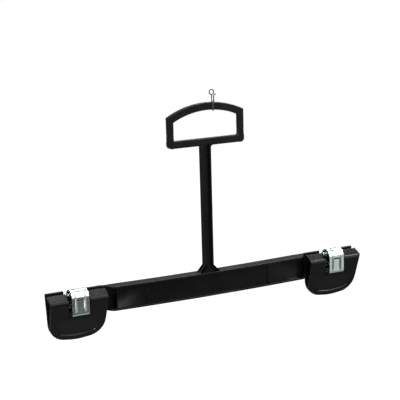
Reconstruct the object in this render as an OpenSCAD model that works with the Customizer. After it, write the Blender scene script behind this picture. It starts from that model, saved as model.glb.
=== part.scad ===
// Trouser hanger with two sprung clips and a closed hanging loop.
// Millimetres, +Z up, X along the bar, front of the hanger towards -Y.
// The origin is the middle of the underside of the loop's crown, where a rail carries the hanger.

/* [Hanger] */
// Overall length over the two clips
overall_len = 360; // [320:2:440]
// Length of the stem between the bar and the yoke
stem_len = 132.6; // [90:0.2:180]

/* [Bar] */
// Height of the bar's I-section
bar_h = 25.2; // [22:0.2:28]
// Depth of the bar's I-section
bar_d = 13.6; // [12.4:0.2:16]
// Thickness of the bar's top and bottom flanges
bar_flange = 1.9; // [1.4:0.1:2.6]
// Thickness of the bar's web
bar_web = 1.8; // [1.4:0.1:2.6]
// Rise of the web's ends above the middle of the bar, which is slightly bowed
bar_rise = 1; // [0.2:0.1:2]
// Distance of the beads across the web from the middle of the bar
bead_x = 70.5; // [40:0.5:90]
// Width of a bead
bead_w = 3; // [2:0.2:5]
// Height of a bead above the web
bead_h = 1.2; // [0.6:0.1:2]
// Distance between the end wall of the web and the back jaw
pocket_l = 12.4; // [10:0.2:20]
// Radius of the flanges' front edge where it runs back to the jaw
flare_r = 9; // [6:0.5:12]

/* [Stem] */
// Width of the stem's I-section
stem_w = 9.7; // [8:0.1:14]
// Depth of the stem's I-section
stem_d = 8.5; // [7:0.1:11]
// Sideways place of the stem on the bar
stem_x = -1; // [-2:0.1:2]
// Overlap of the stem's flanges with the yoke
stem_lap = 1.6; // [1:0.1:3]
// Thickness of the stem's two side flanges
stem_flange = 1.6; // [1.2:0.1:2.2]
// Thickness of the stem's web
stem_web = 2; // [1.4:0.1:3]
// Radius of the flare at the foot of the stem
foot_r = 8; // [4:0.5:14]
// Radius of the small fillets under the yoke
neck_r = 1.8; // [1:0.1:3]

/* [Loop] */
// Overall width of the loop
loop_w = 86.7; // [70:0.1:110]
// Depth of the loop's section
loop_d = 5.1; // [4.6:0.1:7]
// Clear height of the loop in the middle
loop_open = 28.5; // [24:0.05:40]
// Thickness of the yoke
yoke_t = 7.6; // [5.4:0.05:9]
// Thickness of the crown
crown_t = 7.8; // [5.4:0.1:9]
// Width of the loop's side legs
leg_w = 6.7; // [5.2:0.1:8]
// Height of the crown's middle above its shoulders
crown_rise = 11; // [8:0.5:16]
// Sideways place of the crown's highest point
crown_shift = 2.4; // [-4:0.2:4]
// Radius of the fillets in the loop's inner corners
loop_fillet = 2; // [1:0.25:3]
// Height of the yoke's stubs up to the seam
stub_h = 6.25; // [5.5:0.25:10]
// Radius of the rounded edges of the loop
loop_edge = 0.9; // [0.6:0.1:1.6]
// Radius of the yoke's lower corners
yoke_corner = 4; // [2:0.5:5]
// Diameter of the dowels on the legs of the upper loop
dowel_d = 3; // [2.4:0.1:3.2]
// Length of the dowels
dowel_l = 4; // [2.5:0.25:5]
// Depth and half height of the groove along the seam
seam_groove = 0.3; // [0.2:0.05:0.5]

/* [Clips] */
// Width of a jaw at its top
jaw_w = 62.6; // [52:0.2:66]
// Depth of the jaws below the bar
jaw_drop = 25.4; // [21:0.2:27]
// Crown of the jaws' lower edge
jaw_crown = 3.8; // [2:0.2:5]
// Radius of the jaws' lower corners
jaw_corner = 18; // [8:0.5:19]
// Narrowing of each side of the jaws per millimetre downwards
jaw_taper = 0.0465; // [0.03:0.0005:0.1]
// Set-back of the back jaws' sides behind the front jaws' sides
back_inset = 0.8; // [0.4:0.1:1.4]
// Thickness of the back jaws
back_t = 2.9; // [2.6:0.1:3.4]
// Thickness of the front jaws' plate
front_t = 2.6; // [2.3:0.1:3]
// Lean of the front jaws' face away from upright, in degrees
front_lean = 17.5; // [15:0.5:19]
// Height of the front jaws' knee above the bottom of the bar
knee_z = 18; // [16:0.1:19]
// Distance of the knee in front of the back jaw
knee_y = 15.6; // [14.4:0.1:16]
// Radius of the knee
knee_r = 2.2; // [1:0.1:3]
// Gap between the ears' tops at rest
ear_gap = 4.4; // [3.6:0.1:5]
// Height of the back jaws' top above the front ears
ear_step = 0.9; // [0:0.1:2]
// Width of the notch for the spring
notch_w = 22.5; // [20.5:0.5:25]
// Height of the notch's sill above the bottom of the bar
sill_z0 = 0; // [-0.5:0.1:1.5]
// Height of the sill's top edge above the bottom of the bar
sill_z1 = 7; // [6:0.2:7.4]
// Depth of the sill below the jaw's outer face
sill_sink = 1.4; // [1:0.1:1.6]
// Half width of the shallow scoop in the front jaw's face
scoop_w = 22; // [16:0.5:23]
// Height of the scoop
scoop_h = 19; // [12:0.5:20]
// Depth of the scoop at its lower rim
scoop_d = 1; // [0.4:0.1:1.2]
// Distance of the scoop's lower rim above the jaw's lower edge
scoop_rim = 4.6; // [3:0.1:6]
// Pitch of the grip teeth inside the jaws
tooth_pitch = 2.2; // [1.8:0.1:3]
// Number of grip teeth
teeth = 4; // [3:1:5]
// Depth of the grip teeth
tooth_d = 0.9; // [0.5:0.1:1.1]

/* [Fulcrum] */
// Height of the fulcrum above the bottom of the bar
pivot_z = 9.6; // [9:0.1:11]
// Distance of the fulcrum in front of the back jaw
pivot_y = 4.4; // [4:0.1:5]
// Radius of the fulcrum's crest
pivot_r = 1.6; // [1.2:0.1:1.8]
// Width of each fulcrum lug
lug_w = 4; // [3:0.25:6]
// Clearance between the bar's flanges and the sides of the front jaws
ear_fit = 0.5; // [0.3:0.1:1]
// Running clearance round the crest
run_fit = 0.08; // [0.05:0.01:0.1]
// Distance between the jaws' teeth when the clip is shut
bite_gap = 0.3; // [0.2:0.05:0.5]
// Clearance of the dowels in their sockets
dowel_fit = 0.05; // [0.03:0.01:0.1]

/* [Springs] */
// Width of the spring band
band_w = 18; // [15:0.5:19]
// Thickness of the spring band
band_t = 0.8; // [0.6:0.05:1]
// Outer radius of the spring's bend
bend_r = 8.2; // [7.6:0.1:8.8]
// Distance of the front leg's outer face in front of the back jaw
spring_y = 17; // [16.4:0.1:18]
// Height of the bend's axis above the bottom of the bar
bend_z = 20.3; // [19:0.1:21.4]
// Outward slope of the back leg, in degrees
leg_slope = 20; // [18:0.5:22]
// Radius of the turned-in ends of the legs
lip_r = 2.4; // [1.8:0.1:2.8]
// Height of the lips above the bottom of the bar
lip_z = 2.6; // [2.2:0.1:3.6]
// Distance of the pressed ribs from the middle of the band
rib_x = 5.2; // [4:0.1:6]
// Radius of the pressed ribs
rib_r = 1.1; // [0.7:0.1:1.4]
// Length of the pressed ribs
rib_l = 14; // [8:0.5:14.5]
// Clearance between the spring's lips and their seats
seat_fit = 0.1; // [0.05:0.01:0.2]

/* [Hanging eye] */
// Thickness of the wire
wire_d = 0.9; // [0.7:0.05:1.2]
// Distance of the wire eye from the middle of the crown
eye_x = 9.2; // [-20:0.2:20]
// Height of the middle of the eye above the crown
eye_up = 9.5; // [8:0.5:16]
// Inner diameter of the eye
eye_d = 5.2; // [4.4:0.2:8]
// Distance between the feet of the wire on the crown
foot_gap = 4.4; // [3.6:0.2:7]
// Distance between the two strands below the eye
strand_gap = 2.5; // [1.6:0.1:3]

/* [Hidden] */
$fn = 48;
eps = 0.01;
black = [0.09, 0.09, 0.09];
steel = [0.80, 0.82, 0.82];
grey_wire = [0.45, 0.46, 0.47];
yoke_z = -loop_open - yoke_t;              // underside of the yoke
bar_z = yoke_z - stem_len - bar_h;         // underside of the bar
arch_r = (pow(loop_w / 2, 2) + pow(crown_rise, 2)) / (2 * crown_rise);
arch_z = -sqrt(pow(arch_r - crown_t, 2) - pow(crown_shift, 2));   // centre of the arch
// Height of the crown's outer and inner surface at x
function crown_out(x) = arch_z + sqrt(pow(arch_r, 2) - pow(x - crown_shift, 2));
function crown_in(x) = arch_z + sqrt(pow(arch_r - crown_t, 2) - pow(x - crown_shift, 2));
seam_z = -loop_open + stub_h;
leg_x = loop_w / 2 - leg_w / 2;
inner_x = loop_w / 2 - leg_w;              // inner faces of the legs
jaw_x = overall_len / 2 - jaw_w / 2;
pocket_x = jaw_x - jaw_w / 2 - pocket_l;   // end wall of the web
back_y = bar_d / 2;                        // back face of bar and back jaws
plate_y = back_y - back_t;                 // front face of the back jaws
bite_y = plate_y - bite_gap;               // plane of the front jaws' teeth
pivot = [plate_y - pivot_y, pivot_z];
lug_x = notch_w / 2 + lug_w / 2 + 0.4;
knee = [plate_y - knee_y, knee_z];
slope = tan(front_lean);
bow_r = (pow(pocket_x, 2) + pow(bar_rise, 2)) / (2 * bar_rise);
// Height of the bowed bar's underside at x above its middle
function bow_z(x) = bow_r - sqrt(pow(bow_r, 2) - pow(x, 2));
clip_z = bar_z + bow_z(jaw_x - jaw_w / 3);  // height of the clips' datum
// Half width of the front jaws' outline at height z, above the rounded corners
function jaw_half(z) = jaw_w / 2 - (bar_h - z) * jaw_taper;
function face_y(z) = knee[0] + (knee_z - z) * slope;   // front jaw's face
function inner_y(z) = face_y(z) + front_t / cos(front_lean);

// Unit vector of v
function unit(v) = v / norm(v);
// Arc that rounds the corner p between its neighbours a and b; p is [x, y, radius]
function corner(a, p, b, n) = p[2] == 0 ? [[p[0], p[1]]] :
    let (q = [p[0], p[1]], u = unit([a[0], a[1]] - q), v = unit([b[0], b[1]] - q),
         half = acos(u * v) / 2, t = p[2] / tan(half),
         c = q + unit(u + v) * p[2] / sin(half),
         s = q + u * t - c, e = q + v * t - c,
         a0 = atan2(s[1], s[0]), turn = (atan2(e[1], e[0]) - a0 + 540) % 360 - 180)
    [for (i = [0:n]) c + p[2] * [cos(a0 + turn * i / n), sin(a0 + turn * i / n)]];
// Outline through points [x, y, radius] with rounded corners
function rounded(pts, n = 6) = let (m = len(pts))
    [for (i = [0:m - 1]) each corner(pts[(i + m - 1) % m], pts[i], pts[(i + 1) % m], n)];

// Extrusion of an outline drawn in (y, z) along X, centred
module along_x(length) {
    rotate([90, 0, 90]) linear_extrude(length, center = true) children();
}
// Extrusion of an outline drawn in (x, z) from y0 to y1
module along_y(y0, y1) {
    translate([0, y1, 0]) rotate([90, 0, 0]) linear_extrude(y1 - y0) children();
}
// Places its children at both ends of the hanger, mirrored
module both_ends() {
    for (side = [0, 1]) mirror([side, 0, 0]) children();
}

// Shield outline of the jaws, inset at its sides, z from the clip's datum
module jaw_outline(inset = 0) {
    low = -jaw_drop + jaw_crown - 0.5;
    top = jaw_half(bar_h) - inset;
    side = jaw_half(low) - inset;
    polygon(rounded([
        [-top, bar_h, 0], [-side, low, jaw_corner], [0, -jaw_drop - 0.5, jaw_corner * 3.4],
        [side, low, jaw_corner], [top, bar_h, 0]], 12));
}

// Notch that the spring passes through, open at the top, with rounded lower corners
module notch_outline(z0, top_z) {
    h = notch_w / 2;
    polygon(rounded([[-h, z0, 1], [h, z0, 1], [h, top_z, 0], [-h, top_z, 0]], 4));
}

// Row of tooth valleys, drawn in (y, z) along the plane y = 0, cutting towards dir
module tooth_valleys(dir, phase) {
    for (i = [0:teeth - 1])
        translate([0, -jaw_drop + scoop_rim + (i + phase) * tooth_pitch])
            polygon([[-dir * 0.2, -tooth_pitch * 0.48], [dir * tooth_d, -tooth_pitch * 0.1],
                     [dir * tooth_d, tooth_pitch * 0.1], [-dir * 0.2, tooth_pitch * 0.48]]);
}

// One back jaw, drawn round the middle of the clip
module back_jaw() {
    difference() {
        along_y(plate_y, back_y) jaw_outline(back_inset);
        along_y(plate_y - 1, back_y + 1) notch_outline(sill_z1, bar_h + 1);
        along_y(back_y - sill_sink, back_y + 1) notch_outline(sill_z0, bar_h + 1);
        translate([0, plate_y, 0]) along_x(jaw_w * 0.78) tooth_valleys(1, 0.5);
    }
    // Lugs whose round crests are the fulcrum
    for (s = [-1, 1]) translate([s * lug_x, 0, 0]) {
        along_x(lug_w) polygon([
            [pivot[0], pivot_z - pivot_r], [plate_y + eps, pivot_z - pivot_r - 1.6],
            [plate_y + eps, pivot_z + pivot_r + 1.6], [pivot[0], pivot_z + pivot_r]]);
        translate([0, pivot[0], pivot_z]) rotate([0, 90, 0])
            cylinder(h = lug_w, r = pivot_r, center = true);
    }
}

// Plan of a flange, whose front edge runs back to the jaw at x = end
module flange_plan(end) {
    both_ends() polygon(rounded([
        [-eps, -back_y, 0], [end - 6.4, -back_y, flare_r * 0.7], [end, plate_y, 0],
        [end + jaw_w / 12, plate_y, 0], [end + jaw_w / 12, back_y, 0], [-eps, back_y, 0]], 8));
}

// Front view of a bowed strip between two heights, out to x = end; it runs level beyond the web
module bowed_strip(end, z0, z1) {
    xs = [for (i = [-12:12]) pocket_x * i / 12];
    line = concat([[-end, bow_z(pocket_x)]], [for (x = xs) [x, bow_z(x)]], [[end, bow_z(pocket_x)]]);
    polygon(concat([for (p = line) p + [0, z0]],
        [for (i = [len(line) - 1:-1:0]) line[i] + [0, z1]]));
}

module bar() {
    in = bar_flange / 2;
    ends = jaw_x - jaw_w / 3;
    for (z = [0, bar_h - bar_flange]) intersection() {
        along_y(-back_y, back_y) bowed_strip(ends, z, z + bar_flange);
        linear_extrude(4 * bar_h, center = true) flange_plan(jaw_x - jaw_half(z) - ear_fit);
    }
    along_y(-bar_web / 2, bar_web / 2) bowed_strip(pocket_x - in, in, bar_h - in);
    both_ends() {
        // Back wall of the end pocket and the wall that closes the web
        translate([pocket_x - bar_flange, back_y - bar_flange, bow_z(pocket_x) + in])
            cube([pocket_l + 5, bar_flange, bar_h - 2 * in]);
        translate([pocket_x - bar_flange, -bar_web / 2, bow_z(pocket_x) + in])
            cube([bar_flange, back_y, bar_h - 2 * in]);
        // Bead across both faces of the web
        translate([bead_x, 0, bow_z(bead_x) + bar_h / 2])
            linear_extrude(bar_h - 2 * in, center = true) polygon(rounded([
                [-bead_w / 2, -bar_web / 2 - bead_h, 0.5], [bead_w / 2, -bar_web / 2 - bead_h, 0.5],
                [bead_w / 2, bar_web / 2 + bead_h, 0.5], [-bead_w / 2, bar_web / 2 + bead_h, 0.5]], 4));
    }
}

// Front view of the stem with its flared foot and its fillets under the yoke; inset moves it inwards
module stem_outline(inset) {
    h = stem_w / 2 - inset;
    r = foot_r + inset;
    top = bar_h + stem_len;
    for (s = [0, 1]) mirror([s, 0]) {
        translate([-eps, bar_h - 0.5]) square([h + eps, stem_len + stem_lap + 0.5]);
        difference() {
            translate([h - eps, bar_h - 0.5]) square([r - inset, r + 0.5]);
            translate([h + r, bar_h + r]) circle(r, $fn = 72);
            if (inset > 0) translate([-1, bar_h - 1]) square([h + r + 2, 1]);
        }
        if (inset == 0) difference() {
            translate([h - eps, top - neck_r]) square([neck_r + eps, neck_r + 0.5]);
            translate([h + neck_r, top - neck_r]) circle(neck_r);
        }
    }
}

module stem() {
    translate([stem_x, 0, 0]) difference() {
        along_y(-stem_d / 2, stem_d / 2) stem_outline(0);
        for (s = [0, 1]) mirror([0, s, 0]) along_y(stem_web / 2, stem_d) intersection() {
            stem_outline(stem_flange);
            translate([-stem_w - foot_r, bar_h])
                square([2 * (stem_w + foot_r), stem_len + stem_lap + 1]);
        }
    }
}

// Section of the loop with rounded edges, w wide and loop_d deep
module loop_section(w, inset = 0) {
    x = w / 2 - inset;
    y = loop_d / 2 - inset;
    r = loop_edge - inset / 2;
    polygon(rounded([[-x, -y, r], [x, -y, r], [x, y, r], [-x, y, r]], 5));
}

// Lower half of the loop: the yoke's bar, its two corners and its stubs
module yoke() {
    along_x(loop_w - 2 * yoke_corner) translate([0, yoke_z + yoke_t / 2]) rotate(90)
        loop_section(yoke_t);
    both_ends() {
        // Corner cut from a turned ring by the outer radius of the corner
        intersection() {
            union() {
                translate([leg_x, 0, yoke_z + eps]) linear_extrude(yoke_t + stub_h - seam_groove - eps)
                    loop_section(leg_w);
                along_x(loop_w) translate([0, yoke_z + yoke_t / 2]) rotate(90) loop_section(yoke_t);
            }
            along_y(-loop_d, loop_d) polygon(rounded([
                [loop_w / 2 - leg_w * 2, yoke_z - 0.1, 0], [loop_w / 2, yoke_z, yoke_corner],
                [loop_w / 2, seam_z, 0], [loop_w / 2 - leg_w * 2, seam_z, 0]], 8));
        }
        translate([leg_x, 0, seam_z - seam_groove - eps]) linear_extrude(seam_groove + eps)
            loop_section(leg_w, seam_groove);
        inner_fillet([inner_x, yoke_z + yoke_t], [inner_x, 0], [0, yoke_z + yoke_t]);
    }
}

// Fillet in the loop's inner corner p, between the lines towards a and b
module inner_fillet(p, a, b) {
    along_y(loop_edge - loop_d / 2, loop_d / 2 - loop_edge) polygon(concat(
        [p - loop_edge * unit(unit(a - p) + unit(b - p))],
        corner(a, [p[0], p[1], loop_fillet], b, 6)));
}

module frame() {
    color(black) difference() {
        union() {
            translate([0, 0, bar_z]) {
                bar();
                stem();
            }
            both_ends() translate([jaw_x, 0, clip_z]) back_jaw();
            yoke();
        }
        // Sockets for the dowels of the upper loop
        both_ends() translate([leg_x, 0, seam_z - dowel_l - 0.2])
            cylinder(h = dowel_l + 1, d = dowel_d + 2 * dowel_fit);
    }
}

// Half plane beyond the mitre through the shoulder on one side; dir 1 is below it, -1 above
module beyond_mitre(side, dir) {
    inner = [side * inner_x, crown_in(side * inner_x)];
    outer = [side * loop_w / 2, crown_out(side * loop_w / 2)];
    u = unit(outer - inner);
    n = [side * u[1], -side * u[0]] * dir;
    along_y(-loop_d, loop_d) polygon([
        inner - u * leg_w, inner + u * loop_w, inner + u * loop_w + n * loop_w, inner - u * leg_w + n * loop_w]);
}

// Upper half of the loop: crown and legs mitred at the shoulders, with a dowel under each leg
module loop_arch() {
    half = asin((loop_w / 2 + abs(crown_shift)) / arch_r) + 4;
    color(black) {
        intersection() {
            union() {
                // Crown, turned about the centre of the arch
                difference() {
                    translate([crown_shift, 0, arch_z]) rotate([90, half - 90, 0]) rotate_extrude(
                        angle = 2 * half, $fn = 180) translate([arch_r - crown_t / 2, 0])
                        loop_section(crown_t);
                    for (s = [-1, 1]) beyond_mitre(s, 1);
                }
                // Legs, cut along the mitre
                for (s = [-1, 1]) {
                    difference() {
                        translate([s * leg_x, 0, seam_z + seam_groove])
                            linear_extrude(loop_open - stub_h + crown_t) loop_section(leg_w);
                        beyond_mitre(s, -1);
                    }
                    inner_fillet([s * inner_x, crown_in(s * inner_x)], [s * inner_x, seam_z],
                        [s * (inner_x - loop_edge), crown_in(s * (inner_x - loop_edge))]);
                }
            }
            // Small outer radius at the shoulders
            along_y(-loop_d, loop_d) polygon(rounded([
                [-loop_w / 2, seam_z, 0], [-loop_w / 2, crown_out(-loop_w / 2), 2],
                [-loop_w / 4, crown_t * 2, 0], [loop_w / 4, crown_t * 2, 0],
                [loop_w / 2, crown_out(loop_w / 2), 2], [loop_w / 2, seam_z, 0]], 5));
        }
        both_ends() {
            translate([leg_x, 0, seam_z]) linear_extrude(seam_groove + eps)
                loop_section(leg_w, seam_groove);
            translate([leg_x, 0, seam_z - dowel_l]) cylinder(h = dowel_l + 1, d = dowel_d);
        }
    }
}

// Side view of the front jaw in (y, z): leaning plate, knee and ear
function front_profile() = let (
    ear_top = [plate_y - ear_gap, bar_h - ear_step],
    lean = unit(ear_top - knee), n = [lean[1], -lean[0]],
    in_z = knee_z - front_t * tan((90 - front_lean - atan2(lean[1], lean[0])) / 2))
    rounded([
        [face_y(-jaw_drop - 1), -jaw_drop - 1, 0], [knee[0], knee_z, knee_r],
        [ear_top[0], ear_top[1], 0.7], [ear_top[0], ear_top[1] - front_t / lean[0], 0.4],
        [inner_y(in_z), in_z, 0.6], [bite_y, knee_z - (bite_y - knee[0] - front_t
            / cos(front_lean)) / slope, 0], [bite_y, -jaw_drop - 1, 0]], 6);

module front_jaw() {
    top = bar_h + 1;
    color(black) translate([0, 0, clip_z]) difference() {
        union() {
            intersection() {
                along_y(knee[0] - 2, plate_y) jaw_outline();
                along_x(jaw_w + 4) polygon(front_profile());
            }
            // Grip block behind the lower part of the plate
            intersection() {
                along_y(knee[0] - 2, bite_y) jaw_outline();
                along_x(jaw_w * 0.78) polygon([
                    [face_y(-jaw_drop) + 1, -jaw_drop], [bite_y, -jaw_drop],
                    [bite_y, -jaw_drop + scoop_rim + (teeth + 0.6) * tooth_pitch],
                    [inner_y(-8) - 0.6, -8], [face_y(-8) + 1, -8]]);
            }
            // Lugs with half-round seats on the fulcrum
            for (s = [-1, 1]) translate([s * lug_x, 0, 0]) along_x(lug_w) polygon([
                [inner_y(pivot_z - 6) - 0.8, pivot_z - 6], [pivot[0] - 0.4, pivot_z - pivot_r - 1.5],
                [pivot[0] - 0.4, pivot_z + pivot_r + 1.5], [inner_y(pivot_z + 4) - 0.8, pivot_z + 4]]);
            // Saddle behind the notch that the spring's lip presses on
            along_x(notch_w + 2) polygon([
                [face_y(sill_z0) + sill_sink, sill_z0 - 2],
                [face_y(sill_z1) + sill_sink, sill_z1],
                [inner_y(sill_z1) + 0.8, sill_z1], [inner_y(sill_z0) + 0.8, sill_z0],
                [inner_y(sill_z0 - 3) - 0.2, sill_z0 - 3]]);
        }
        // Notch, deep above the saddle and sunk in front of it
        along_y(knee[0] - 3, plate_y) notch_outline(sill_z1, top + 1);
        intersection() {
            along_y(knee[0] - 3, plate_y) notch_outline(sill_z0, top + 1);
            along_x(notch_w + 2) polygon([
                [knee[0] - 3, -1], [face_y(-1) + sill_sink, -1],
                [face_y(top) + sill_sink, top], [knee[0] - 3, top]]);
        }
        scoop();
        translate([0, bite_y, 0]) along_x(jaw_w) tooth_valleys(-1, 1);
        for (s = [-1, 1]) translate([s * lug_x, pivot[0], pivot_z]) rotate([0, 90, 0])
            cylinder(h = lug_w + 1, r = pivot_r + run_fit, center = true);
    }
}

// Shallow scoop whose floor runs out upwards into the leaning face
module scoop() {
    rim_z = -jaw_drop + scoop_rim;
    translate([0, face_y(rim_z), rim_z]) rotate([front_lean, 0, 0]) intersection() {
        along_y(-1, scoop_d + 1) polygon(rounded([
            [-scoop_w, scoop_h, 0], [-scoop_w + 1.6, 2.6, 5.5], [0, -0.6, jaw_corner * 3],
            [scoop_w - 1.6, 2.6, 5.5], [scoop_w, scoop_h, 0]], 8));
        along_x(jaw_w) polygon([
            [-1, -scoop_rim], [scoop_d, -scoop_rim], [scoop_d, 0], [-eps, scoop_h + 1], [-1, scoop_h + 1]]);
    }
}

module left_front_jaw() { translate([-jaw_x, 0, 0]) front_jaw(); }
module right_front_jaw() { mirror([1, 0, 0]) translate([-jaw_x, 0, 0]) front_jaw(); }

// Side view of the spring band in (y, z) from the front lip over the bend to the back lip
module spring_profile() {
    fy = plate_y - spring_y;               // front leg's outer face
    cy = fy + bend_r;                      // axis of the bend
    r = bend_r - band_t / 2;
    l = lip_r - band_t / 2;
    seat = face_y(lip_z + band_t) + sill_sink - seat_fit;
    back_seat = back_y - sill_sink + seat_fit;
    // Centre line: front lip, front leg, bend, back leg, back lip
    e = [cy + r * cos(leg_slope), bend_z + r * sin(leg_slope)];
    b = [back_seat + l + 0.4, lip_z + 1 + l];   // centre line's lowest point of the back leg
    drop = (e[1] - b[1]);
    knee2 = [e[0] + drop * tan(leg_slope), b[1]];
    line = concat(
        [[seat, lip_z + band_t / 2]],
        [for (i = [0:6]) let (a = 270 - 15 * i)
            [fy + band_t / 2 + l + l * cos(a), lip_z + band_t / 2 + l + l * sin(a)]],
        [for (i = [0:16]) let (a = 180 - i * (180 - leg_slope) / 16) [cy + r * cos(a), bend_z + r * sin(a)]],
        [for (i = [0:6]) let (a = leg_slope - i * (leg_slope + 90) / 6)
            knee2 + [l * (cos(a) - cos(leg_slope)), l * (sin(a) - sin(leg_slope))]],
        [[back_seat, knee2[1] - l * (1 + sin(leg_slope))]]);
    m = len(line);
    steps = [for (i = [0:m - 2]) unit(line[i + 1] - line[i])];
    dirs = [for (i = [0:m - 1]) unit(steps[min(i, m - 2)] + steps[max(i - 1, 0)])];
    polygon(concat(
        [for (i = [0:m - 1]) line[i] + band_t / 2 * [-dirs[i][1], dirs[i][0]]],
        [for (i = [m - 1:-1:0]) line[i] - band_t / 2 * [-dirs[i][1], dirs[i][0]]]));
}

module spring() {
    fy = plate_y - spring_y;
    rib_top = bend_z + 1;
    color(steel) translate([0, 0, clip_z]) {
        difference() {
            along_x(band_w) spring_profile();
            // Pressed ribs are hollow behind
            for (s = [-1, 1]) translate([s * rib_x, fy + band_t, rib_top - rib_l])
                cylinder(h = rib_l, r = rib_r - band_t / 2);
        }
        difference() {
            for (s = [-1, 1]) translate([s * rib_x, fy + band_t * 0.7, rib_top - rib_l]) {
                cylinder(h = rib_l, r = rib_r);
                sphere(rib_r);
                translate([0, 0, rib_l]) sphere(rib_r);
            }
            translate([-band_w, fy + band_t, 0]) cube([2 * band_w, 10, 40]);
        }
    }
}

module left_spring() { translate([-jaw_x, 0, 0]) spring(); }
module right_spring() { mirror([1, 0, 0]) translate([-jaw_x, 0, 0]) spring(); }

// Tube of n sides round a path
module tube(path, r, n = 8) {
    m = len(path);
    t = [for (i = [0:m - 1]) unit(path[min(i + 1, m - 1)] - path[max(i - 1, 0)])];
    // Frame carried along the path without twisting
    function carry(i, u) = i == m ? [] :
        let (v = unit(u - (u * t[i]) * t[i])) concat([v], carry(i + 1, v));
    us = carry(0, abs(t[0][1]) < 0.9 ? [0, 1, 0] : [1, 0, 0]);
    pts = [for (i = [0:m - 1]) let (u = us[i], w = cross(t[i], u))
        for (k = [0:n - 1]) path[i] + r * (cos(360 * k / n) * u + sin(360 * k / n) * w)];
    polyhedron(pts, concat(
        [[for (k = [n - 1:-1:0]) k]],
        [for (i = [0:m - 2]) for (k = [0:n - 1]) let (a = i * n + k, b = i * n + (k + 1) % n)
            each [[a, b, b + n], [a, b + n, a + n]]],
        [[for (k = [0:n - 1]) (m - 1) * n + k]]), convexity = 10);
}

// One wire: barb, back strand, round the crown, front strand and the eye
module hanging_eye() {
    g = wire_d / 2 + 0.1;
    y = loop_d / 2 + g;
    top = crown_out(eye_x) + g + 0.1;
    r = (eye_d + wire_d) / 2;
    f = foot_gap / 2;
    s = strand_gap / 2;
    c = crown_t + eye_up;                  // height of the eye's middle
    lean_y = wire_d * 0.62;
    hi = [for (x = [-f, -f * 0.65, f * 0.65, f]) crown_out(eye_x + x) + g + 0.05];
    lo = [for (x = [-f * 0.4, 0, f * 0.4]) crown_in(eye_x + x) - g - 0.05];
    wrap = [[s + wire_d * 2, -lean_y - 0.3, c - r * 0.75], [s + wire_d, -lean_y - 0.2, c - r],
        [s, -lean_y * 0.6, c - r - wire_d], [s, 0, (c + top) / 2 - r / 2], [s + 0.05, 0.3, top + 2],
        [s + 0.4, 0.8, top + 0.9], [f, 1.5, hi[3] + 0.1], [f, y - 0.4, hi[3]], [f, y, hi[3] - 0.8],
        [f * 0.8, y, crown_t / 2], [f * 0.6, y, lo[2] + 0.9], [f * 0.4, y - 0.5, lo[2]], [0, 0, lo[1]],
        [-f * 0.4, 0.5 - y, lo[0]], [-f * 0.6, -y, lo[0] + 0.9], [-f * 0.65, -y, crown_t / 2],
        [-f * 0.65, -y, hi[1] - 0.8], [-f * 0.7, 0.4 - y, hi[1]], [-f * 0.9, -1.5, hi[0] + 0.1],
        [-s - 0.4, -0.8, top + 0.9], [-s - 0.05, -0.3, top + 2], [-s, -0.3, (c + top) / 2 - r / 2],
        [-s - 0.1, -lean_y * 0.8, c - r - wire_d * 0.3]];
    eye = [for (i = [0:19]) let (a = 215 - i * 15)
        [r * cos(a), -lean_y + 2 * lean_y * i / 19, c + r * sin(a)]];
    color(grey_wire) translate([eye_x, 0, 0]) tube(concat(wrap, eye), wire_d / 2);
}

frame();
loop_arch();
left_front_jaw();
right_front_jaw();
left_spring();
right_spring();
hanging_eye();
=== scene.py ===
import math

import bmesh
import bpy
from mathutils import Matrix, Vector


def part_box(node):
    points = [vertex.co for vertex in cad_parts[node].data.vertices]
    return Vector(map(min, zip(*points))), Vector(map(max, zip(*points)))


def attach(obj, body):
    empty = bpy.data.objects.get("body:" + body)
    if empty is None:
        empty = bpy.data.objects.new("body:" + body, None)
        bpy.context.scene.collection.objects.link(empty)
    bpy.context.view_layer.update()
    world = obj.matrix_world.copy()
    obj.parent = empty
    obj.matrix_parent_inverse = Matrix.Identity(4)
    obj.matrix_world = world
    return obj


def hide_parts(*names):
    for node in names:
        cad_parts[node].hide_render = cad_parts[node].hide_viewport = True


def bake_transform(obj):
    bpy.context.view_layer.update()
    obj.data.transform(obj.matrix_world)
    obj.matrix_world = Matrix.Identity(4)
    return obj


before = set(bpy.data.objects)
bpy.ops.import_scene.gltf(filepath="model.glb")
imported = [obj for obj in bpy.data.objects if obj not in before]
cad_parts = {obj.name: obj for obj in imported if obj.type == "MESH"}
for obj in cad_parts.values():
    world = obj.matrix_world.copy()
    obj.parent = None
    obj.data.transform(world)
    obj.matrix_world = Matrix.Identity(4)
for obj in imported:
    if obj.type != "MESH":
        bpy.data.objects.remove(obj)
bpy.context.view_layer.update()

# Black moulding: bar, stem, yoke and the two fixed back jaws.
# One injection moulding in black polypropylene, satin from the tool, with small
# rounded edges everywhere that the tool's halves meet.

merge_distance, flat_within = 2e-6, math.radians(0.4)
sharp_from, shaded_sharp_from, rounding_steps = math.radians(35), math.radians(40), 3


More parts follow.
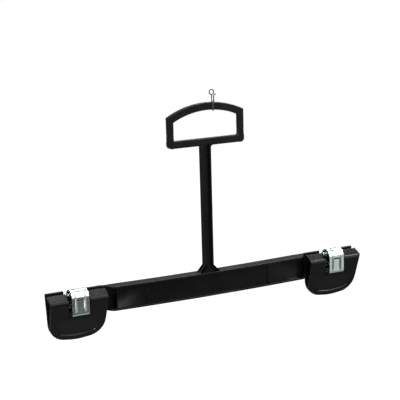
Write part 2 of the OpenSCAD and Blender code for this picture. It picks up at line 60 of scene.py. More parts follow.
def moulded_copy(node, name, width, shape=None):
    """A merged copy of a solid, its outward sharp edges rounded by width(edge) metres."""
    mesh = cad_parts[node].data.copy()
    mesh.name = name
    bm = bmesh.new()
    bm.from_mesh(mesh)
    bmesh.ops.remove_doubles(bm, verts=bm.verts, dist=merge_distance)
    bmesh.ops.dissolve_limit(bm, angle_limit=flat_within, verts=bm.verts, edges=bm.edges)
    bmesh.ops.dissolve_degenerate(bm, dist=merge_distance, edges=bm.edges)
    if shape:
        shape(bm)
    weight = bm.edges.layers.float.new("bevel_weight_edge")
    sharp = [line for line in bm.edges if len(line.link_faces) == 2 and line.is_convex
             and line.calc_face_angle(0) > sharp_from]
    widths = [width(line) for line in sharp]
    largest = max(widths) or 1.0
    for line, rounding in zip(sharp, widths):
        line[weight] = rounding / largest
    bm.to_mesh(mesh)
    bm.free()
    piece = bpy.data.objects.new(name, mesh)
    bpy.context.scene.collection.objects.link(piece)
    if max(widths):
        bevel = piece.modifiers.new("edges", "BEVEL")
        bevel.width = largest
        bevel.segments = rounding_steps
        bevel.limit_method = "WEIGHT"
        bevel.use_clamp_overlap = False
    for face in mesh.polygons:
        face.use_smooth = True
    mesh.set_sharp_from_angle(angle=shaded_sharp_from)
    even = piece.modifiers.new("shading", "WEIGHTED_NORMAL")
    even.keep_sharp = True
    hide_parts(node)
    return piece


def moulded_plastic(name, tint=0.0028, roughness=0.31, seed=0.0):
    """Black plastic with a faint tool grain, a slow waviness and uneven gloss."""
    material = bpy.data.materials.new(name)
    material.use_nodes = True
    nodes, links = material.node_tree.nodes, material.node_tree.links
    shader = nodes["Principled BSDF"]
    shader.inputs["Specular IOR Level"].default_value = 0.29
    place = nodes.new("ShaderNodeTexCoord")
    shift = nodes.new("ShaderNodeMapping")
    shift.inputs["Location"].default_value = (seed, seed * 0.7, seed * 1.3)
    links.new(place.outputs["Object"], shift.inputs["Vector"])
    gloss = nodes.new("ShaderNodeTexNoise")
    gloss.inputs["Scale"].default_value = 55
    gloss.inputs["Detail"].default_value = 5
    spread = nodes.new("ShaderNodeMapRange")
    spread.inputs["From Min"].default_value = 0.3
    spread.inputs["From Max"].default_value = 0.7
    spread.inputs["To Min"].default_value = roughness - 0.05
    spread.inputs["To Max"].default_value = roughness + 0.06
    links.new(shift.outputs[0], gloss.inputs["Vector"])
    links.new(gloss.outputs["Fac"], spread.inputs["Value"])
    links.new(spread.outputs[0], shader.inputs["Roughness"])
    colour = nodes.new("ShaderNodeMix")
    colour.data_type = "RGBA"
    colour.inputs["A"].default_value = (tint * 0.85, tint * 0.9, tint * 0.9, 1)
    colour.inputs["B"].default_value = (tint * 1.15, tint * 1.2, tint * 1.2, 1)
    links.new(gloss.outputs["Fac"], colour.inputs["Factor"])
    # Convex edges, found by pointiness, are a little paler: a painted edge highlight
    edge_sharpness = nodes.new("ShaderNodeNewGeometry")
    edge_highlight_mask = nodes.new("ShaderNodeMapRange")
    edge_highlight_mask.inputs["From Min"].default_value = 0.53
    edge_highlight_mask.inputs["From Max"].default_value = 0.62
    edge_highlight_mask.inputs["To Max"].default_value = 0.55
    edge_highlight = nodes.new("ShaderNodeMix")
    edge_highlight.data_type = "RGBA"
    edge_highlight.inputs["B"].default_value = (tint * 2.6, tint * 2.6, tint * 2.6, 1)
    links.new(edge_sharpness.outputs["Pointiness"], edge_highlight_mask.inputs["Value"])
    links.new(edge_highlight_mask.outputs[0], edge_highlight.inputs["Factor"])
    links.new(colour.outputs["Result"], edge_highlight.inputs["A"])
    links.new(edge_highlight.outputs["Result"], shader.inputs["Base Color"])
    grain = nodes.new("ShaderNodeTexNoise")
    grain.inputs["Scale"].default_value = 2600
    grain.inputs["Detail"].default_value = 3
    wave = nodes.new("ShaderNodeTexNoise")
    wave.inputs["Scale"].default_value = 38
    wave.inputs["Detail"].default_value = 1
    links.new(shift.outputs[0], grain.inputs["Vector"])
    links.new(shift.outputs[0], wave.inputs["Vector"])
    fine = nodes.new("ShaderNodeBump")
    fine.inputs["Strength"].default_value = 0.12
    fine.inputs["Distance"].default_value = 0.00002
    slow = nodes.new("ShaderNodeBump")
    slow.inputs["Strength"].default_value = 0.3
    slow.inputs["Distance"].default_value = 0.0004
    links.new(grain.outputs["Fac"], fine.inputs["Height"])
    links.new(wave.outputs["Fac"], slow.inputs["Height"])
    links.new(slow.outputs[0], fine.inputs["Normal"])
    links.new(fine.outputs[0], shader.inputs["Normal"])
    return material


wide_rounding, fine_rounding, shortest_edge = 0.0007, 0.0004, 0.0006
yoke_from_z, joint_z, joint_edge = -0.04, -0.0294, 0.002
back_jaw_from_x, back_jaw_top_z = 0.118, -0.1715
stem_half_x, stem_edge = 0.008, 0.1


def moulding_edge(line):
    """Wider on the back jaws' tops and the stem, a lip at the loop's joint, fine elsewhere."""
    middle = (line.verts[0].co + line.verts[1].co) / 2
    length = line.calc_length()
    if middle.z > yoke_from_z:
        lip = abs(middle.z - joint_z) < 0.0001 and length > joint_edge
        return fine_rounding if lip else 0.0
    if abs(middle.x) > back_jaw_from_x and middle.z > back_jaw_top_z:
        return wide_rounding
    if abs(middle.x) < stem_half_x and length > stem_edge:
        return wide_rounding
    return fine_rounding if length > shortest_edge else 0.0


moulding = moulded_copy("frame", "hanger_moulding", moulding_edge)
moulding.data.materials.clear()
moulding.data.materials.append(moulded_plastic("black_moulding"))
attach(moulding, "hanger")

# Upper half of the hanging loop.
# A second black moulding whose dowels press into the yoke's stubs, which leaves a
# fine groove on each side.

arch = moulded_copy("loop_arch", "loop_upper_half", lambda line: 0.0)
arch.data.materials.clear()
arch.data.materials.append(moulded_plastic("black_loop", seed=0.3))
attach(arch, "hanger")

# Moving front jaws.
# Black mouldings that lean out to a knee, with two ears to pinch, a notch for the
# spring and a shallow scoop for the thumb. Their front edges are well rounded.

clip_x, clip_z, large_face = 0.1487, -0.1924, 6e-5
ear_top, ear_rounding, front_rounding, notch_rounding = 0.0225, 0.0011, 0.0008, 0.0002
notch_reach, notch_low, notch_high = 0.02, -0.012, 0.01
dish_depth, dish_rim, dish_steps, dish_round, dish_fade = 0.0014, 0.00113, 10, 0.2, 1.1
knee_tight, knee_wide = 0.0022, 0.0045


def ramp(value, low, high):
    """Smooth step from 0 at low to 1 at high."""
    t = min(max((value - low) / (high - low), 0.0), 1.0)
    return t * t * (3 - 2 * t)


def wall(t, bend):
    """Straight wall from 0 to 1 with rounded ends, bend is the share of each end."""
    if t < bend:
        return t * t / (2 * bend * (1 - bend))
    if t > 1 - bend:
        return 1 - (1 - t) ** 2 / (2 * bend * (1 - bend))
    return (t - bend / 2) / (1 - bend)


def jaw_edge(line):
    """Wide rounding where a large front or ear face ends, fine round the notch's foot."""
    middle = (line.verts[0].co + line.verts[1].co) / 2
    height, aside = middle.z - clip_z, abs(abs(middle.x) - clip_x)
    large = any(face.normal.y < -0.3 and face.calc_area() > large_face for face in line.link_faces)
    if large and height > ear_top:
        return ear_rounding
    near_notch = aside <= notch_reach and notch_low <= height <= notch_high
    return front_rounding if large and not near_notch else notch_rounding


def largest_face(bm, facing):
    """The largest face whose normal passes a test."""
    return max((face for face in bm.faces if facing(face.normal)),
               key=lambda face: face.calc_area())


def leaning(normal):
    """The plane that the front of the jaw lies in, below its knee."""
    return normal.y < -0.948


def rounder_knee(bm):
    """Opens the knee's small fillet to a wider one between the same two faces."""
    lean = largest_face(bm, leaning)
    ear = largest_face(bm, lambda normal: normal.z > 0.8 and normal.y < -0.3)
    a, b = lean.normal.copy(), ear.normal.copy()
    da, db = a.dot(lean.verts[0].co), b.dot(ear.verts[0].co)
    # Where the two faces would meet, and the fillets' middle lines on the corner's bisector
    det = a.y * b.z - a.z * b.y
    corner = Vector((0, (da * b.z - db * a.z) / det, (a.y * db - b.y * da) / det))
    inward = -(a + b).normalized()
    half = a.angle(b) / 2
    tight = corner + inward * (knee_tight / math.cos(half))
    wide = corner + inward * (knee_wide / math.cos(half))
    for vert in bm.verts:
        arm = Vector((0, vert.co.y - tight.y, vert.co.z - tight.z))
        if abs(arm.length - knee_tight) < 3e-5 and abs(arm.angle(-inward)) < half + 0.02:
            moved = wide + arm.normalized() * knee_wide
            vert.co.y, vert.co.z = moved.y, moved.z


def thumb_dish(bm):
    """Swaps the plain scoop for a dish that fades in at its top and has a rounded rim."""
    lean = largest_face(bm, leaning)
    floor = largest_face(bm, lambda normal: -0.945 < normal.y < -0.9 and normal.z < -0.32)
    out, at = lean.normal.copy(), lean.verts[0].co.copy()
    # The floor and the walls that carry it go, and leave their rim in the leaning face
    gone = {floor} | {face for line in floor.edges for face in line.link_faces}
    rim_lines = [line for face in gone for line in face.edges
                 if any(other not in gone for other in line.link_faces)]
    bmesh.ops.delete(bm, geom=list(gone), context="FACES")
    rim_lines = [line for line in rim_lines if line.is_valid]
    rim = bmesh.ops.contextual_create(bm, geom=rim_lines)["faces"][0]
    if rim.normal.dot(out) < 0:
        rim.normal_flip()
    rim.smooth = True
    down = Vector((0, -out.z, out.y))
    down = down if down.z < 0 else -down
    reach = [(vert.co - at).dot(down) for vert in rim.verts]
    top, bottom = min(reach), max(reach)
    for step in range(1, dish_steps + 1):
        bmesh.ops.inset_region(bm, faces=[rim], thickness=dish_rim / dish_steps,
                               use_even_offset=True)
        before = wall((step - 1) / dish_steps, dish_round)
        share = wall(step / dish_steps, dish_round) - before
        for vert in rim.verts:
            along = (vert.co + out * dish_depth * before - at).dot(down)
            fade = min(1.0, max(0.0, (along - top) / (bottom - top)) * dish_fade)
            vert.co -= out * dish_depth * share * fade


def dressed_jaw(bm):
    """The jaw's own shapes, made before its edges are rounded."""
    rounder_knee(bm)
    thumb_dish(bm)


for side, seed in (("left", 1.1), ("right", 2.3)):
    jaw = moulded_copy(side + "_front_jaw", side + "_clip_jaw", jaw_edge, dressed_jaw)
    jaw.data.materials.clear()
    jaw.data.materials.append(moulded_plastic("black_jaw_" + side, seed=seed))
    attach(jaw, side + "_jaw")

# Band springs.
# Bright rolled spring steel strip, bent into a U over the back jaw. Two pressed ribs
# stiffen the front leg on both sides of a sunk panel, and both ends turn inwards.

band_width, band_thick = 0.018, 0.0008
bend_radius, bend_height = 0.0078, 0.0203
back_slope = math.radians(20)
lip_radius, lip_height = 0.002, 0.003
front_leg_y, bend_y = -0.0127, -0.0049
front_seat_y, back_seat_y = -0.0058, 0.0055
back_foot, front_foot = (0.00875, 0.0056), (-0.0107, 0.005)
rib_place, rib_half, rib_height, rib_fall = 0.0052, 0.00058, 0.00026, 2.2
rib_from, rib_to = (0.0056, 0.0068), (0.031, 0.036)
panel_sides, panel_depth = (0.0034, 0.0042), 0.0003
panel_from, panel_to = (0.003, 0.012), (0.0190, 0.0194)
groove_at, groove_half, groove_depth, groove_ends = 0.0187, 0.0007, 0.0004, (0.0030, 0.0034)
groove_shade_half = (0.0034, 0.0011, 0.0008)
sheet_step, sheet_columns, sheet_edge = 0.0003, 60, 0.00012


def band_line():
    """Middle line of the band in (y, z), from the front lip to the back lip."""
    line = [(front_seat_y, lip_height)]
    line += [(front_foot[0] + lip_radius * math.cos(math.radians(a)),
              front_foot[1] + lip_radius * math.sin(math.radians(a))) for a in range(270, 179, -9)]
    line += [(bend_y + bend_radius * math.cos(a), bend_height + bend_radius * math.sin(a))
             for a in [math.pi - i * (math.pi - back_slope) / 48 for i in range(49)]]
    first = back_slope
    line += [(back_foot[0] + lip_radius * (math.cos(a) - math.cos(first)),
              back_foot[1] + lip_radius * (math.sin(a) - math.sin(first)))
             for a in [first - i * (first + math.pi / 2) / 12 for i in range(13)]]
    line += [(back_seat_y, line[-1][1])]
    return line


def even_steps(line, step):
    """Points at even steps along a line."""
    out = [line[0]]
    left = step
    for a, b in zip(line, line[1:]):
        length = math.dist(a, b)
        at = left
        while at < length:
            out.append((a[0] + (b[0] - a[0]) * at / length, a[1] + (b[1] - a[1]) * at / length))
            at += step
        left = at - length
    out.append(line[-1])
    return out


def press_depth(y, z, u):
    """How far the press has moved the band outwards at (y, z), u from its middle."""
    over = math.atan2(z - bend_height, -(y - bend_y)) if z > bend_height else 0.0
    along = z if over == 0.0 else bend_height + over * bend_radius
    # The back leg stays plain
    if y > bend_y + 0.004 and z < bend_height + bend_radius * 0.8:
        return 0.0
    rib = math.exp(-((abs(u) - rib_place) / rib_half) ** 2 * rib_fall)
    rib *= ramp(along, *rib_from) * (1 - ramp(along, *rib_to))
    panel = 1 - ramp(abs(u), *panel_sides)
    panel *= ramp(along, *panel_from) * (1 - ramp(along, *panel_to))
    groove = 1 - ramp(abs(along - groove_at), groove_half * 0.3, groove_half)
    groove *= 1 - ramp(abs(u), *groove_ends)
    return rib_height * rib - panel_depth * panel - groove_depth * groove


def band_spring(name, middle_x, base_z):
    """The strip as one sheet along its middle line, then given its thickness and edges."""
    points = even_steps(band_line(), sheet_step)
    count, columns = len(points), sheet_columns
    aside = [(k / columns - 0.5) * band_width for k in range(columns + 1)]
    bm = bmesh.new()
    grid = []
    for i, (y, z) in enumerate(points):
        before, after = points[max(i - 1, 0)], points[min(i + 1, count - 1)]
        along = Vector((0, after[0] - before[0], after[1] - before[1])).normalized()
        out = Vector((0, -along.z, along.y))
        grid.append([bm.verts.new(Vector((middle_x + u, y, base_z + z))
                                  + out * press_depth(y, z, u)) for u in aside])
    for i in range(count - 1):
        for k in range(columns):
            bm.faces.new((grid[i][k], grid[i + 1][k], grid[i + 1][k + 1], grid[i][k + 1]))
    mesh = bpy.data.meshes.new(name)
    bm.to_mesh(mesh)
    bm.free()
    band = bpy.data.objects.new(name, mesh)
    bpy.context.scene.collection.objects.link(band)
    for face in mesh.polygons:
        face.use_smooth = True
    sheet = band.modifiers.new("sheet", "SOLIDIFY")
    sheet.thickness = band_thick
    sheet.offset = 0
    edges = band.modifiers.new("edges", "BEVEL")
    edges.width = sheet_edge
    edges.segments = 2
    edges.limit_method = "ANGLE"
    edges.angle_limit = math.radians(60)
    even = band.modifiers.new("shading", "WEIGHTED_NORMAL")
    even.keep_sharp = True
    return band


def rolled_steel(name, colour, roughness, groove_z=None, middle_x=0.0):
    """Strip or wire with fine lines and faint smears, and painted shade in a pressed groove."""
    material = bpy.data.materials.new(name)
    material.use_nodes = True
    nodes, links = material.node_tree.nodes, material.node_tree.links
    shader = nodes["Principled BSDF"]
    shader.inputs["Metallic"].default_value = 1.0
    place = nodes.new("ShaderNodeTexCoord")
    shift = nodes.new("ShaderNodeMapping")
    shift.inputs["Scale"].default_value = (1, 0.02, 0.02)
    links.new(place.outputs["Object"], shift.inputs["Vector"])
    lines = nodes.new("ShaderNodeTexNoise")
    lines.inputs["Scale"].default_value = 3200
    lines.inputs["Detail"].default_value = 3
    links.new(shift.outputs[0], lines.inputs["Vector"])
    smear = nodes.new("ShaderNodeTexNoise")
    smear.inputs["Scale"].default_value = 240
    smear.inputs["Detail"].default_value = 4
    links.new(place.outputs["Object"], smear.inputs["Vector"])
    tint = nodes.new("ShaderNodeMix")
    tint.data_type = "RGBA"
    tint.inputs["A"].default_value = (colour[0] * 0.9, colour[1] * 0.9, colour[2] * 0.9, 1)
    tint.inputs["B"].default_value = (colour[0], colour[1], colour[2], 1)
    links.new(lines.outputs["Fac"], tint.inputs["Factor"])
    links.new(tint.outputs["Result"], shader.inputs["Base Color"])
    # Painted shade: a box round the pressed groove is darkened to near black
    if groove_z:
        groove_shade_place = nodes.new("ShaderNodeMapping")
        centre = (middle_x, front_leg_y, groove_z)
        groove_shade_place.inputs["Location"].default_value = [-c / half for c, half in zip(centre, groove_shade_half)]
        groove_shade_place.inputs["Scale"].default_value = [1 / half for half in groove_shade_half]
        far = nodes.new("ShaderNodeVectorMath")
        far.operation = "ABSOLUTE"
        parts = nodes.new("ShaderNodeSeparateXYZ")
        widest, most = nodes.new("ShaderNodeMath"), nodes.new("ShaderNodeMath")
        widest.operation = most.operation = "MAXIMUM"
        groove_shade_mask = nodes.new("ShaderNodeMapRange")
        groove_shade_mask.inputs["From Min"].default_value = 1.05
        groove_shade_mask.inputs["From Max"].default_value = 0.85
        groove_shade = nodes.new("ShaderNodeMix")
        groove_shade.data_type = "RGBA"
        groove_shade.inputs["B"].default_value = (0.03, 0.04, 0.04, 1)
        links.new(place.outputs["Object"], groove_shade_place.inputs["Vector"])
        links.new(groove_shade_place.outputs[0], far.inputs[0])
        links.new(far.outputs["Vector"], parts.inputs[0])
        links.new(parts.outputs["X"], widest.inputs[0])
        links.new(parts.outputs["Y"], widest.inputs[1])
        links.new(widest.outputs[0], most.inputs[0])
        links.new(parts.outputs["Z"], most.inputs[1])
        links.new(most.outputs[0], groove_shade_mask.inputs["Value"])
        links.new(groove_shade_mask.outputs[0], groove_shade.inputs["Factor"])
        links.new(tint.outputs["Result"], groove_shade.inputs["A"])
        links.new(groove_shade.outputs["Result"], shader.inputs["Base Color"])
    sum_up = nodes.new("ShaderNodeMath")
    sum_up.operation = "ADD"
    links.new(lines.outputs["Fac"], sum_up.inputs[0])
    links.new(smear.outputs["Fac"], sum_up.inputs[1])
    spread = nodes.new("ShaderNodeMapRange")
    spread.inputs["From Min"].default_value = 0.6
    spread.inputs["From Max"].default_value = 1.4
    spread.inputs["To Min"].default_value = roughness - 0.08
    spread.inputs["To Max"].default_value = roughness + 0.12
    links.new(sum_up.outputs[0], spread.inputs["Value"])
    links.new(spread.outputs[0], shader.inputs["Roughness"])
    bump = nodes.new("ShaderNodeBump")
    bump.inputs["Strength"].default_value = 0.15
    bump.inputs["Distance"].default_value = 0.00001
    links.new(lines.outputs["Fac"], bump.inputs["Height"])
    links.new(bump.outputs[0], shader.inputs["Normal"])
    return material


for side in ("left", "right"):
    low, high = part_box(side + "_spring")
    middle_x = (low[0] + high[0]) / 2
    base_z = high[2] - (bend_height + bend_radius + band_thick / 2)
    band = band_spring(side + "_band_spring", middle_x, base_z)
    band.data.materials.append(rolled_steel("spring_steel_" + side, (0.76, 0.87, 0.86), 0.2,
                                            base_z + groove_at, middle_x))
    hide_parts(side + "_spring")
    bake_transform(band)

# Wire eye on the crown.
# Dull grey wire wrapped once round the crown, twisted up and closed into a small eye.
# The wire is swept along its path with Geometry Nodes.

wire_thick, eye_inner, wire_shown = 0.0009, 0.0052, 0.00115
foot_half, strand_half, eye_aside = 0.0022, 0.00125, 0.0012


def smooth_path(points, pieces=6):
    """Catmull-Rom curve through points."""
    out = []
    for i in range(len(points) - 1):
        p0, p1 = points[max(i - 1, 0)], points[i]
        p2, p3 = points[i + 1], points[min(i + 2, len(points) - 1)]
        for k in range(pieces):
            t = k / pieces
            out.append(0.5 * ((2 * p1) + (p2 - p0) * t + (2 * p0 - 5 * p1 + 4 * p2 - p3) * t * t
                              + (3 * p1 - p0 - 3 * p2 + p3) * t ** 3))
    return out + [points[-1]]


def wire_sweep():
    """Geometry Nodes tree that turns a path into a round wire."""
    tree = bpy.data.node_groups.new("wire_sweep", "GeometryNodeTree")
    tree.interface.new_socket("Path", in_out="INPUT", socket_type="NodeSocketGeometry")
    for label, start in (("Wire radius", wire_shown / 2), ("Step", 0.0002)):
        socket = tree.interface.new_socket(label, in_out="INPUT", socket_type="NodeSocketFloat")
        socket.default_value = start
    sides = tree.interface.new_socket("Sides", in_out="INPUT", socket_type="NodeSocketInt")
    sides.default_value = 12
    tree.interface.new_socket("Finish", in_out="INPUT", socket_type="NodeSocketMaterial")
    tree.interface.new_socket("Wire", in_out="OUTPUT", socket_type="NodeSocketGeometry")
    nodes, links = tree.nodes, tree.links
    begin, end = nodes.new("NodeGroupInput"), nodes.new("NodeGroupOutput")
    to_curve = nodes.new("GeometryNodeMeshToCurve")
    steps = nodes.new("GeometryNodeResampleCurve")
    steps.mode = "LENGTH"
    ring = nodes.new("GeometryNodeCurvePrimitiveCircle")
    sweep = nodes.new("GeometryNodeCurveToMesh")
    sweep.inputs["Fill Caps"].default_value = True
    smooth = nodes.new("GeometryNodeSetShadeSmooth")
    real = nodes.new("GeometryNodeRealizeInstances")
    coat = nodes.new("GeometryNodeSetMaterial")
    links.new(begin.outputs["Path"], to_curve.inputs["Mesh"])
    links.new(to_curve.outputs["Curve"], steps.inputs["Curve"])
    links.new(begin.outputs["Step"], steps.inputs["Length"])
    links.new(begin.outputs["Wire radius"], ring.inputs["Radius"])
    links.new(begin.outputs["Sides"], ring.inputs["Resolution"])
    links.new(steps.outputs["Curve"], sweep.inputs["Curve"])
    links.new(ring.outputs["Curve"], sweep.inputs["Profile Curve"])
    links.new(sweep.outputs["Mesh"], smooth.inputs["Geometry"])
    links.new(smooth.outputs["Geometry"], real.inputs["Geometry"])
    links.new(real.outputs["Geometry"], coat.inputs["Geometry"])
    links.new(begin.outputs["Finish"], coat.inputs["Material"])
    links.new(coat.outputs["Geometry"], end.inputs["Wire"])
    return tree


def swept_wire(name, points, finish):
    """A round wire along points, as a plain mesh."""
    path = bpy.data.meshes.new(name + "_path")
    path.from_pydata([tuple(p) for p in points], [(i, i + 1) for i in range(len(points) - 1)], [])
    carrier = bpy.data.objects.new(name + "_path", path)
    bpy.context.scene.collection.objects.link(carrier)
    modifier = carrier.modifiers.new("sweep", "NODES")
    modifier.node_group = wire_sweep()
    for item in modifier.node_group.interface.items_tree:
        if item.item_type == "SOCKET" and item.in_out == "INPUT" and item.name == "Finish":
            modifier[item.identifier] = finish
    bpy.context.view_layer.update()
    solid = bpy.data.meshes.new_from_object(
        carrier.evaluated_get(bpy.context.evaluated_depsgraph_get()))
    solid.name = name
    bpy.data.objects.remove(carrier)
    wire = bpy.data.objects.new(name, solid)
    bpy.context.scene.collection.objects.link(wire)
    return wire


low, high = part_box("hanging_eye")
arch_low, arch_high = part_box("loop_arch")
loop_half = (arch_high[1] - arch_low[1]) / 2
gap = wire_thick / 2 + 0.0001
eye_radius = (eye_inner + wire_thick) / 2 - 0.0004
eye_x, crown = 0.0092, 0.0078
eye_z = high[2] - wire_thick / 2 - eye_radius
arch_outer, arch_inner, arch_shift = 0.09092, 0.08312, 0.0024
arch_z = -math.sqrt(arch_inner ** 2 - arch_shift ** 2)


def crown_at(x, radius):
    """Height of the crown's outer or inner face at x."""
    return arch_z + math.sqrt(radius ** 2 - (x - arch_shift) ** 2)


f, s, y, r = foot_half, strand_half, loop_half + gap, eye_radius
top = crown_at(eye_x, arch_outer) + gap + 0.0001
hi = [crown_at(eye_x + x, arch_outer) + gap + 0.00005 for x in (-f, -f * 0.65, f * 0.65, f)]
lo = [crown_at(eye_x + x, arch_inner) - gap - 0.00005 for x in (-f * 0.4, 0, f * 0.4)]
lean = wire_thick * 0.62
# From the free end beside the eye down to the crown, round it once and up to the eye again
path = [(s + wire_thick * 2, -lean - 0.0003, eye_z - r * 0.75),
        (s + wire_thick, -lean - 0.0002, eye_z - r),
        (s, -lean * 0.6, eye_z - r - wire_thick), (s, 0, (eye_z + top) / 2 - r / 2),
        (s + 0.00005, 0.0003, top + 0.002), (s + 0.0004, 0.0008, top + 0.0009),
        (f, 0.0015, hi[3] + 0.0001), (f, y - 0.0004, hi[3]), (f, y, hi[3] - 0.0008),
        (f * 0.8, y, crown / 2), (f * 0.6, y, lo[2] + 0.0009),
        (f * 0.4, y - 0.0005, lo[2]), (0, 0, lo[1]), (-f * 0.4, 0.0005 - y, lo[0]),
        (-f * 0.6, -y, lo[0] + 0.0009), (-f * 0.65, -y, crown / 2),
        (-f * 0.65, -y, hi[1] - 0.0008), (-f * 0.7, 0.0004 - y, hi[1]),
        (-f * 0.9, -0.0015, hi[0] + 0.0001), (-s - 0.0004, -0.0008, top + 0.0009),
        (-s - 0.00005, -0.0003, top + 0.002), (-s, -0.0003, (eye_z + top) / 2 - r / 2),
        (-s - 0.0001, -lean * 0.8, eye_z - r - wire_thick * 0.3)]
path += [(r * math.cos(math.radians(215 - 15 * i)) - eye_aside, -lean + 2 * lean * i / 19,
          eye_z + r * math.sin(math.radians(215 - 15 * i))) for i in range(20)]
path = smooth_path([Vector((eye_x + x, py, z)) for x, py, z in path])
wire = swept_wire("wire_eye", path, rolled_steel("grey_wire", (0.12, 0.12, 0.125), 0.5))
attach(wire, "hanger")
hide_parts("hanging_eye")

# Floor, background, light and camera.
# The hanger hangs at rail height in front of white, with a pale floor 1.8 m below it.

floor_z, floor_half = -1.8, 9
straight_behind = (0.436, 0.875, -0.209)
floor_mesh = bpy.data.meshes.new("studio_floor")
corners = [(-floor_half, -floor_half), (floor_half, -floor_half),
           (floor_half, floor_half), (-floor_half, floor_half)]
floor_mesh.from_pydata([(x, y, floor_z) for x, y in corners], [], [(0, 1, 2, 3)])
floor = bpy.data.objects.new("studio_floor", floor_mesh)
bpy.context.scene.collection.objects.link(floor)


def seen_white(nodes, links, coordinate):
    """Share of white: all for the camera, and for gloss and glass only straight behind."""
    where = nodes.new("ShaderNodeTexCoord")
    unit = nodes.new("ShaderNodeVectorMath")
    unit.operation = "NORMALIZE"
    toward = nodes.new("ShaderNodeVectorMath")
    toward.operation = "DOT_PRODUCT"
    toward.inputs[1].default_value = straight_behind
    behind = nodes.new("ShaderNodeMapRange")
    behind.inputs["From Min"].default_value = 0.93
    behind.inputs["From Max"].default_value = 0.97
    links.new(where.outputs[coordinate], unit.inputs[0])
    links.new(unit.outputs["Vector"], toward.inputs[0])
    links.new(toward.outputs["Value"], behind.inputs["Value"])
    light_path = nodes.new("ShaderNodeLightPath")
    clear = nodes.new("ShaderNodeMath")
    clear.operation = "MAXIMUM"
    links.new(light_path.outputs["Is Glossy Ray"], clear.inputs[0])
    links.new(light_path.outputs["Is Transmission Ray"], clear.inputs[1])
    only = nodes.new("ShaderNodeMath")
    only.operation = "MULTIPLY"
    links.new(clear.outputs[0], only.inputs[0])
    links.new(behind.outputs[0], only.inputs[1])
    share = nodes.new("ShaderNodeMath")
    share.operation = "MAXIMUM"
    links.new(light_path.outputs["Is Camera Ray"], share.inputs[0])
    links.new(only.outputs[0], share.inputs[1])
    return share.outputs[0]


pale = bpy.data.materials.new("pale_floor")
pale.use_nodes = True
nodes, links = pale.node_tree.nodes, pale.node_tree.links
matt = nodes["Principled BSDF"]
matt.inputs["Base Color"].default_value = (0.6, 0.6, 0.6, 1)
matt.inputs["Roughness"].default_value = 0.9
glow = nodes.new("ShaderNodeEmission")
spot = nodes.new("ShaderNodeTexCoord")
reach = nodes.new("ShaderNodeVectorMath")
reach.operation = "LENGTH"
fade = nodes.new("ShaderNodeMapRange")
fade.inputs["From Min"].default_value = 2.1
fade.inputs["From Max"].default_value = 3.2
fade.inputs["To Min"].default_value = 0.72
fade.inputs["To Max"].default_value = 1.0
links.new(spot.outputs["Object"], reach.inputs[0])
links.new(reach.outputs["Value"], fade.inputs["Value"])
links.new(fade.outputs[0], glow.inputs["Strength"])
dark = nodes.new("ShaderNodeEmission")
dark.inputs["Strength"].default_value = 0.0
mix = nodes.new("ShaderNodeMixShader")
links.new(seen_white(nodes, links, "Object"), mix.inputs["Fac"])
links.new(dark.outputs[0], mix.inputs[1])
links.new(glow.outputs[0], mix.inputs[2])
both = nodes.new("ShaderNodeAddShader")
links.new(matt.outputs[0], both.inputs[0])
links.new(mix.outputs[0], both.inputs[1])
links.new(both.outputs[0], nodes["Material Output"].inputs["Surface"])
floor_mesh.materials.append(pale)

# The world is white to the camera. Gloss sees that white straight behind the object
# and a dimmer room all round it.
world = bpy.data.worlds.new("studio")
bpy.context.scene.world = world
world.use_nodes = True
nodes, links = world.node_tree.nodes, world.node_tree.links
back = nodes["Background"]
back.inputs["Color"].default_value = (1, 1, 1, 1)
back.inputs["Strength"].default_value = 1.0
room = nodes.new("ShaderNodeBackground")
room.inputs["Color"].default_value = (1, 1, 1, 1)
room.inputs["Strength"].default_value = 0.14
mix = nodes.new("ShaderNodeMixShader")
links.new(seen_white(nodes, links, "Generated"), mix.inputs["Fac"])
links.new(room.outputs[0], mix.inputs[1])
links.new(back.outputs[0], mix.inputs[2])
links.new(mix.outputs[0], nodes["World Output"].inputs["Surface"])

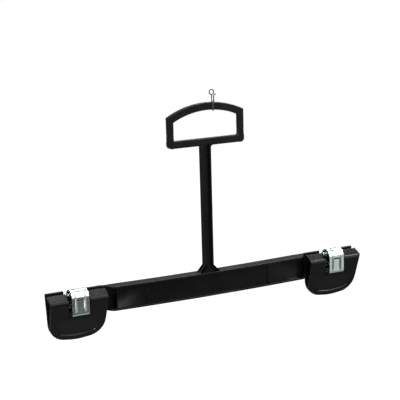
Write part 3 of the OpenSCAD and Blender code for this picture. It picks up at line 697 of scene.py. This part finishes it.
lamps = [
    # name, place, width and height in metres, power in watts
    ("front_softbox", (0.75, -1.5, 0.45), (1.5, 0.9), 8),
    ("top_softbox", (0.89, -0.36, 0.93), (0.34, 0.26), 5.5),
    ("right_top_softbox", (1.38, -0.4, 0.9), (0.4, 0.34), 11),
    ("top_left_softbox", (0.3, -0.55, 0.9), (0.6, 0.7), 4.5),
    ("top_card", (0.02, 0.3, 0.95), (0.42, 0.5), 2.6),
    ("back_softbox", (0.58, 0.72, 0.77), (0.7, 0.24), 6),
    ("left_back_softbox", (-1.0, 0.55, 0.65), (0.22, 0.22), 9),
    ("left_softbox", (-0.95, -0.75, 0.45), (0.26, 0.26), 9),
    ("left_card", (-0.59, -1.27, -0.57), (0.3, 0.3), 0.8),
    ("left_bounce", (-1.0, -0.3, -0.9), (0.5, 0.5), 3),
    ("right_wall", (1.05, -1.2, -0.45), (0.5, 0.6), 0.6),
]
lit_point = Vector((0, 0, -0.15))
for name, place, size, power in lamps:
    light = bpy.data.lights.new(name, "AREA")
    light.shape = "RECTANGLE"
    light.size, light.size_y = size
    light.energy = power
    lamp = bpy.data.objects.new(name, light)
    lamp.location = place
    lamp.rotation_euler = (lit_point - Vector(place)).to_track_quat("-Z", "Y").to_euler()
    bpy.context.scene.collection.objects.link(lamp)

view_turn, view_height, view_roll = math.radians(26.5), math.radians(12.06), math.radians(1.60)
distance, aim = 1.31156, Vector((-0.00829, 0, -0.09226))
focal_pixels, frame_pixels, film_width = 1278.87, 400, 36
away = Vector((-math.sin(view_turn) * math.cos(view_height),
               -math.cos(view_turn) * math.cos(view_height), math.sin(view_height)))
right = Vector((math.cos(view_turn), -math.sin(view_turn), 0))
up = away.cross(right)
across = right * math.cos(view_roll) - up * math.sin(view_roll)
upward = right * math.sin(view_roll) + up * math.cos(view_roll)
lens = bpy.data.cameras.new("photo_camera")
lens.sensor_width = film_width
lens.lens = focal_pixels / frame_pixels * film_width
lens.clip_start = 0.01
lens.clip_end = 50
camera = bpy.data.objects.new("photo_camera", lens)
turned = Matrix((across, upward, away)).transposed().to_4x4()
camera.matrix_world = Matrix.Translation(aim + away * distance) @ turned
bpy.context.scene.collection.objects.link(camera)
bpy.context.scene.camera = camera
bpy.context.scene.view_settings.view_transform = "Standard"
